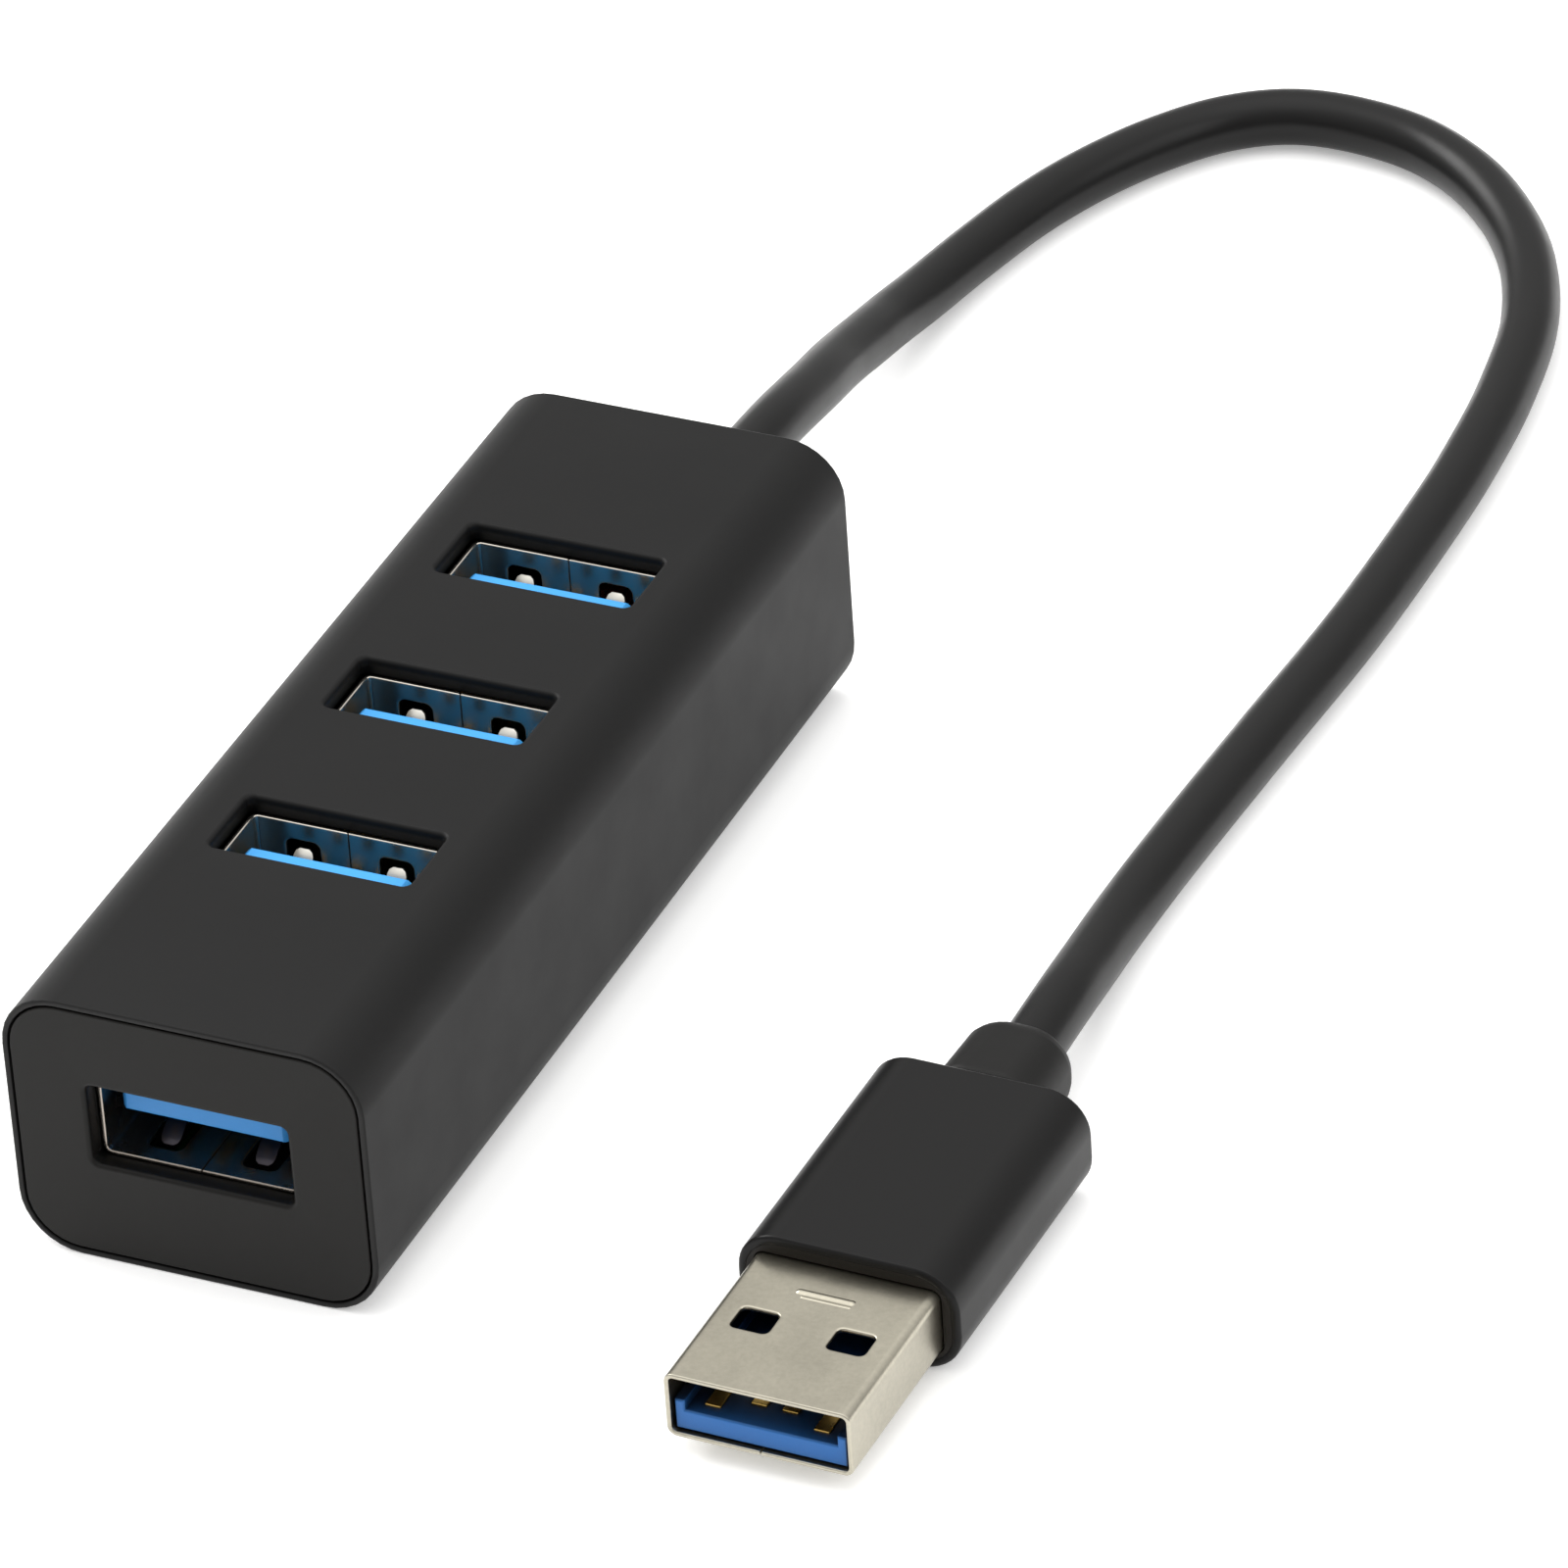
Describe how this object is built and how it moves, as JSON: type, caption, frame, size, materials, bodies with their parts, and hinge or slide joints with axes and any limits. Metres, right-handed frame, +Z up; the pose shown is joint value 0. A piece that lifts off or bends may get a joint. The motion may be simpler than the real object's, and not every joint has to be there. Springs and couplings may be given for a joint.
{
  "type": "usb hub",
  "caption": "Slim powered-from-host USB 3 hub: black aluminium tube with top ports in a row, an end port, and a short captive cable ending in a USB-A plug.",
  "frame": {"origin": "middle of the hub body, on the surface it lies on; the cable and plug are left out of that box", "axes": "+Y along the body towards the cable end, -Y towards the end port, +X to the side where the plug lies, +Z up out of the top ports"},
  "size_m": [0.0592, 0.1517, 0.0186],
  "materials": {
    "body_aluminium": "satin black anodised",
    "cap_plastic": "smooth satin moulding",
    "tray_plastic": "matt moulding",
    "board_green": "solder mask over glass fibre",
    "chip_black": "matt epoxy",
    "crystal_can": "plated can",
    "capacitor_amber": "moulded epoxy",
    "ceramic_tan": "fired ceramic",
    "fuse_green": "polymer fuse",
    "nickel": "nickel-plated sheet",
    "spring_nickel": "bright nickel plate",
    "port_blue": "blue moulding",
    "plug_blue": "blue moulding",
    "contact_gold": "gold plate",
    "wire_insulation": "extruded insulation",
    "cable_jacket": "matt black jacket",
    "moulded_black": "satin overmould"
  },
  "bodies": {
    "hub": {"body_shell": "body_aluminium", "front_cap": "cap_plastic", "rear_cap": "cap_plastic", "board_tray": "tray_plastic", "main_board": "board_green", "riser_board": "board_green", "riser_pins": "contact_gold", "hub_controller": "chip_black", "memory_chip": "chip_black", "crystal": "crystal_can", "voltage_regulator": "chip_black", "bulk_capacitors": "capacitor_amber", "ceramic_capacitors": "ceramic_tan", "chip_resistors": "chip_black", "port_fuses": "fuse_green", "surge_arrays": "chip_black", "top_port_1_shell": "nickel", "top_port_1_insulator": "port_blue", "top_port_1_contacts": "contact_gold", "top_port_2_shell": "nickel", "top_port_2_insulator": "port_blue", "top_port_2_contacts": "contact_gold", "top_port_3_shell": "nickel", "top_port_3_insulator": "port_blue", "top_port_3_contacts": "contact_gold", "end_port_shell": "nickel", "end_port_insulator": "port_blue", "end_port_contacts": "contact_gold", "cable_wires": "wire_insulation", "cable_grommet": "moulded_black", "cable": "cable_jacket", "plug_strain_relief": "moulded_black", "plug_sleeve": "body_aluminium", "plug_core": "moulded_black", "plug_shell": "nickel", "plug_insulator": "plug_blue", "plug_contacts": "contact_gold"},
    "top_port_1_springs": {"top_port_1_fingers": "spring_nickel"},
    "top_port_2_springs": {"top_port_2_fingers": "spring_nickel"},
    "top_port_3_springs": {"top_port_3_fingers": "spring_nickel"},
    "end_port_springs": {"end_port_fingers": "spring_nickel"}
  },
  "joints": [
    {"name": "top_port_1_finger_flex", "type": "hinge", "parent": "hub", "child": "top_port_1_springs", "pos_m": [0, -0.01209, 0.0094], "axis": [-1, 0, 0], "range_deg": [0, 6], "stiffness_Nm_per_rad": 0.02},
    {"name": "top_port_2_finger_flex", "type": "hinge", "parent": "hub", "child": "top_port_2_springs", "pos_m": [0, 0.00391, 0.0094], "axis": [-1, 0, 0], "range_deg": [0, 6], "stiffness_Nm_per_rad": 0.02},
    {"name": "top_port_3_finger_flex", "type": "hinge", "parent": "hub", "child": "top_port_3_springs", "pos_m": [0, 0.01991, 0.0094], "axis": [-1, 0, 0], "range_deg": [0, 6], "stiffness_Nm_per_rad": 0.02},
    {"name": "end_port_finger_flex", "type": "hinge", "parent": "hub", "child": "end_port_springs", "pos_m": [0, -0.0263, 0.00719], "axis": [1, 0, 0], "range_deg": [0, 6], "stiffness_Nm_per_rad": 0.02}
  ]
}
